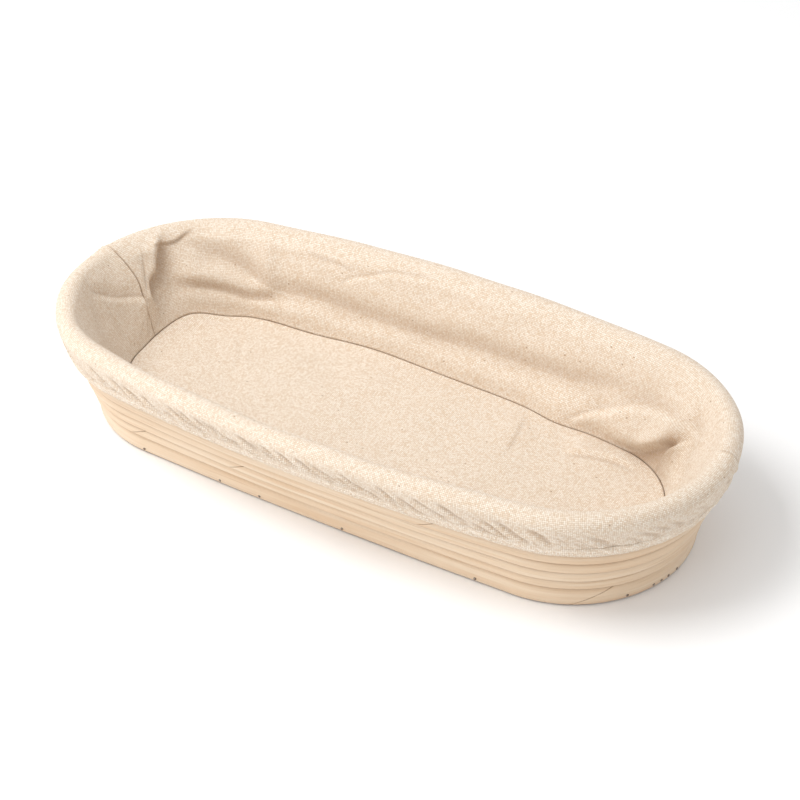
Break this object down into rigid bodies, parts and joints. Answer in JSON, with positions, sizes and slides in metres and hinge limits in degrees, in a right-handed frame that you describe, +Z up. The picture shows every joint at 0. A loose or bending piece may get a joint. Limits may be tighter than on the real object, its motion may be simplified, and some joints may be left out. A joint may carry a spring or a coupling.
{
  "type": "banneton basket",
  "caption": "Long oval proofing basket of coiled pale cane with a removable linen liner, gathered by elastic over the rim",
  "frame": {"origin": "centre of the basket's underside, on the surface it stands on", "axes": "+X along the basket's length, +Y across it, +Z up out of its mouth"},
  "size_m": [0.38, 0.177, 0.0655],
  "materials": {
    "cane": "smooth unvarnished peeled cane with a soft sheen",
    "pins": "small dull brads",
    "linen": "matt unbleached linen, plain weave with darker flecks",
    "elastic": "matt woven elastic"
  },
  "bodies": {
    "basket": {"foot_turn": "cane", "wall_turn_1": "cane", "wall_turn_2": "cane", "wall_turn_3": "cane", "wall_turn_4": "cane", "wall_turn_5": "cane", "wall_turn_6": "cane", "wall_turn_7": "cane", "rim_turn": "cane", "base_turn_1": "cane", "base_turn_2": "cane", "base_turn_3": "cane", "base_turn_4": "cane", "base_turn_5": "cane", "base_turn_6": "cane", "base_turn_7": "cane", "centre_strip": "cane", "base_pins": "pins", "wall_pins": "pins"},
    "liner": {"liner_floor": "linen", "liner_front_panel": "linen", "liner_back_panel": "linen", "skirt_front": "linen", "skirt_back": "linen", "hem_casing": "linen", "elastic_band": "elastic"}
  },
  "joints": [
    {"name": "liner_lift", "type": "slide", "parent": "basket", "child": "liner", "axis": [0, 0, 1], "range_m": [0, 0.09], "deforming": ["skirt_front", "skirt_back", "hem_casing", "elastic_band"]}
  ]
}
